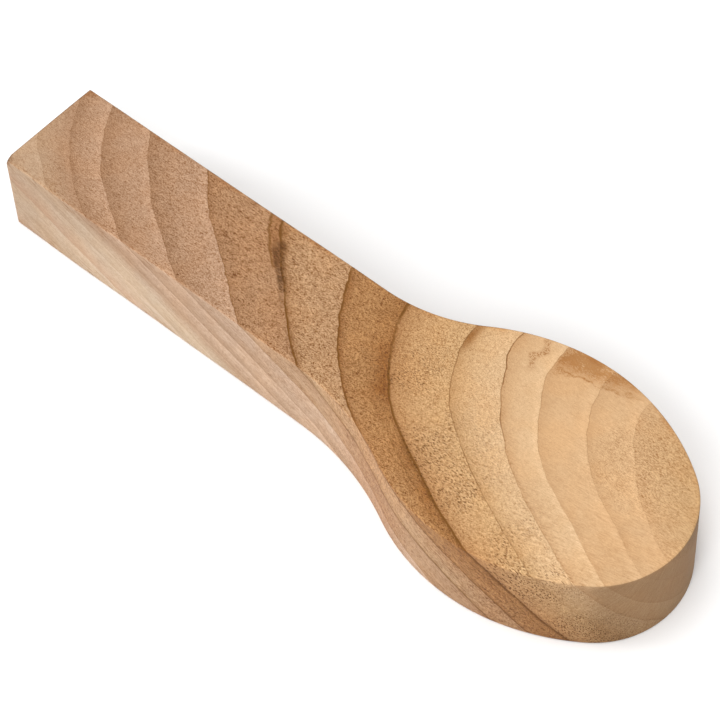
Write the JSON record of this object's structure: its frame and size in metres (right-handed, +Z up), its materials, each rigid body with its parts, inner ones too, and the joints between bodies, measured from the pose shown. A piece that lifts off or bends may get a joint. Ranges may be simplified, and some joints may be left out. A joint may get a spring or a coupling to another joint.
{
  "type": "spoon carving blank",
  "caption": "Solid wooden blank for carving a spoon: a flat slab sawn to a plain bar handle that flows through hollow necks into an oval bowl.",
  "frame": {"origin": "on the lower face, half way along the length, on the bowl's centre line", "axes": "+X along the blank towards the bowl's tip, +Z up out of the upper face, +Y to the left looking from handle to bowl"},
  "size_m": [0.2, 0.061, 0.025],
  "materials": {
    "wood": "sawn and lightly sanded, unfinished"
  },
  "bodies": {
    "root": {"spoon_blank": "wood"}
  },
  "joints": []
}
